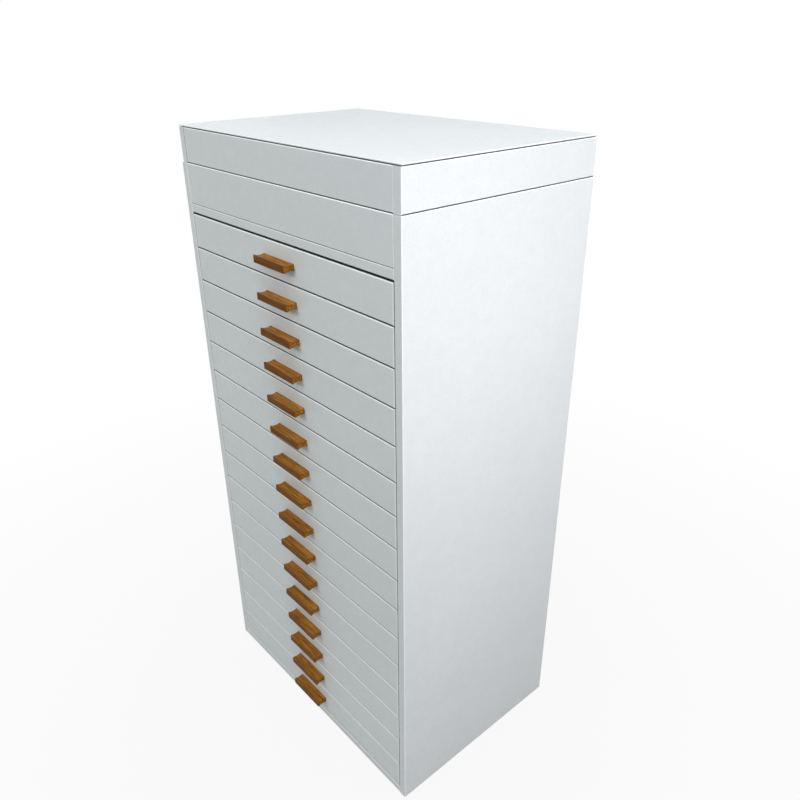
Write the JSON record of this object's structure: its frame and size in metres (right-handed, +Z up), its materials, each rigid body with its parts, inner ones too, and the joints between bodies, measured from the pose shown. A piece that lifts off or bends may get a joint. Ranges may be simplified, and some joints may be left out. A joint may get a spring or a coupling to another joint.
{
  "type": "paper storage drawer cabinet",
  "caption": "Tall narrow cabinet with shallow pull-out drawers for flat craft paper, brown bar pulls and a hinged boxed lid over a top compartment.",
  "frame": {"origin": "on the floor, under the middle of the whole object with its pulls and hinges", "axes": "+X to the right along the front, +Y from the front to the back, +Z up"},
  "size_m": [0.56, 0.4045, 1.11],
  "materials": {
    "white_wrap": "matte white leatherette with a fine grain, wrapped round board",
    "tray_board": "board covered in matt white paper",
    "pull_wood": "satin brown stained wood",
    "runner_wood": "planed pale wood, unfinished",
    "hinge_steel": "nickel-plated, satin",
    "glide_plastic": "hard black plastic"
  },
  "bodies": {
    "cabinet": {"left_side_panel": "white_wrap", "right_side_panel": "white_wrap", "back_panel": "white_wrap", "bottom_board": "white_wrap", "divider_shelf": "white_wrap", "compartment_front": "white_wrap", "drawer_runners": "runner_wood", "floor_glides": "glide_plastic", "cabinet_hinge_leaves": "hinge_steel"},
    "lid": {"lid_rim": "white_wrap", "lid_top": "white_wrap", "lid_hinge_leaves": "hinge_steel"},
    "drawer_01": {"drawer_01_front": "white_wrap", "drawer_01_tray": "tray_board", "drawer_01_pull": "pull_wood"},
    "drawer_02": {"drawer_02_front": "white_wrap", "drawer_02_tray": "tray_board", "drawer_02_pull": "pull_wood"},
    "drawer_03": {"drawer_03_front": "white_wrap", "drawer_03_tray": "tray_board", "drawer_03_pull": "pull_wood"},
    "drawer_04": {"drawer_04_front": "white_wrap", "drawer_04_tray": "tray_board", "drawer_04_pull": "pull_wood"},
    "drawer_05": {"drawer_05_front": "white_wrap", "drawer_05_tray": "tray_board", "drawer_05_pull": "pull_wood"},
    "drawer_06": {"drawer_06_front": "white_wrap", "drawer_06_tray": "tray_board", "drawer_06_pull": "pull_wood"},
    "drawer_07": {"drawer_07_front": "white_wrap", "drawer_07_tray": "tray_board", "drawer_07_pull": "pull_wood"},
    "drawer_08": {"drawer_08_front": "white_wrap", "drawer_08_tray": "tray_board", "drawer_08_pull": "pull_wood"},
    "drawer_09": {"drawer_09_front": "white_wrap", "drawer_09_tray": "tray_board", "drawer_09_pull": "pull_wood"},
    "drawer_10": {"drawer_10_front": "white_wrap", "drawer_10_tray": "tray_board", "drawer_10_pull": "pull_wood"},
    "drawer_11": {"drawer_11_front": "white_wrap", "drawer_11_tray": "tray_board", "drawer_11_pull": "pull_wood"},
    "drawer_12": {"drawer_12_front": "white_wrap", "drawer_12_tray": "tray_board", "drawer_12_pull": "pull_wood"},
    "drawer_13": {"drawer_13_front": "white_wrap", "drawer_13_tray": "tray_board", "drawer_13_pull": "pull_wood"},
    "drawer_14": {"drawer_14_front": "white_wrap", "drawer_14_tray": "tray_board", "drawer_14_pull": "pull_wood"},
    "drawer_15": {"drawer_15_front": "white_wrap", "drawer_15_tray": "tray_board", "drawer_15_pull": "pull_wood"},
    "drawer_16": {"drawer_16_front": "white_wrap", "drawer_16_tray": "tray_board", "drawer_16_pull": "pull_wood"}
  },
  "joints": [
    {"name": "lid_hinge", "type": "hinge", "parent": "cabinet", "child": "lid", "pos_m": [0, 0.1995, 1.05075], "axis": [-1, 0, 0], "range_deg": [0, 100]},
    {"name": "drawer_01_slide", "type": "slide", "parent": "cabinet", "child": "drawer_01", "axis": [0, -1, 0], "range_m": [0, 0.28]},
    {"name": "drawer_02_slide", "type": "slide", "parent": "cabinet", "child": "drawer_02", "axis": [0, -1, 0], "range_m": [0, 0.28]},
    {"name": "drawer_03_slide", "type": "slide", "parent": "cabinet", "child": "drawer_03", "axis": [0, -1, 0], "range_m": [0, 0.28]},
    {"name": "drawer_04_slide", "type": "slide", "parent": "cabinet", "child": "drawer_04", "axis": [0, -1, 0], "range_m": [0, 0.28]},
    {"name": "drawer_05_slide", "type": "slide", "parent": "cabinet", "child": "drawer_05", "axis": [0, -1, 0], "range_m": [0, 0.28]},
    {"name": "drawer_06_slide", "type": "slide", "parent": "cabinet", "child": "drawer_06", "axis": [0, -1, 0], "range_m": [0, 0.28]},
    {"name": "drawer_07_slide", "type": "slide", "parent": "cabinet", "child": "drawer_07", "axis": [0, -1, 0], "range_m": [0, 0.28]},
    {"name": "drawer_08_slide", "type": "slide", "parent": "cabinet", "child": "drawer_08", "axis": [0, -1, 0], "range_m": [0, 0.28]},
    {"name": "drawer_09_slide", "type": "slide", "parent": "cabinet", "child": "drawer_09", "axis": [0, -1, 0], "range_m": [0, 0.28]},
    {"name": "drawer_10_slide", "type": "slide", "parent": "cabinet", "child": "drawer_10", "axis": [0, -1, 0], "range_m": [0, 0.28]},
    {"name": "drawer_11_slide", "type": "slide", "parent": "cabinet", "child": "drawer_11", "axis": [0, -1, 0], "range_m": [0, 0.28]},
    {"name": "drawer_12_slide", "type": "slide", "parent": "cabinet", "child": "drawer_12", "axis": [0, -1, 0], "range_m": [0, 0.28]},
    {"name": "drawer_13_slide", "type": "slide", "parent": "cabinet", "child": "drawer_13", "axis": [0, -1, 0], "range_m": [0, 0.28]},
    {"name": "drawer_14_slide", "type": "slide", "parent": "cabinet", "child": "drawer_14", "axis": [0, -1, 0], "range_m": [0, 0.28]},
    {"name": "drawer_15_slide", "type": "slide", "parent": "cabinet", "child": "drawer_15", "axis": [0, -1, 0], "range_m": [0, 0.28]},
    {"name": "drawer_16_slide", "type": "slide", "parent": "cabinet", "child": "drawer_16", "axis": [0, -1, 0], "range_m": [0, 0.28]}
  ]
}
